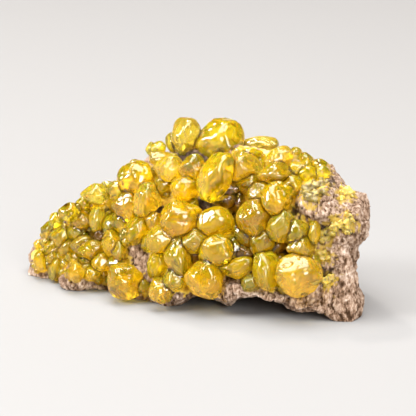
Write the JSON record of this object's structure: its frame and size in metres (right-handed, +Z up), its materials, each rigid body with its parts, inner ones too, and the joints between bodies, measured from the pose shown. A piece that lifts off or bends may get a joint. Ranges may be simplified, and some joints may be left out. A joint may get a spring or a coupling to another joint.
{
  "type": "native sulfur crystal specimen",
  "caption": "Broken block of porous rock with a crust of blocky, clear yellow sulfur crystals over its sloping front and ridge, standing on a flat underside.",
  "frame": {"origin": "centre of the overall box at the flat underside", "axes": "+X along the ridge towards the steep end, -Y out of the crystal face towards the viewer, +Z up from the underside"},
  "size_m": [0.1147, 0.0772, 0.0582],
  "materials": {
    "rock": "rough, broken, porous",
    "sulfur": "clear yellow, adamantine to greasy natural crystal faces"
  },
  "bodies": {
    "root": {"rock_matrix": "rock", "sulfur_crust": "sulfur", "sulfur_cluster_1": "sulfur", "sulfur_cluster_2": "sulfur", "sulfur_cluster_3": "sulfur", "sulfur_cluster_4": "sulfur", "sulfur_cluster_5": "sulfur", "sulfur_cluster_6": "sulfur", "sulfur_cluster_7": "sulfur", "sulfur_cluster_8": "sulfur"}
  },
  "joints": []
}
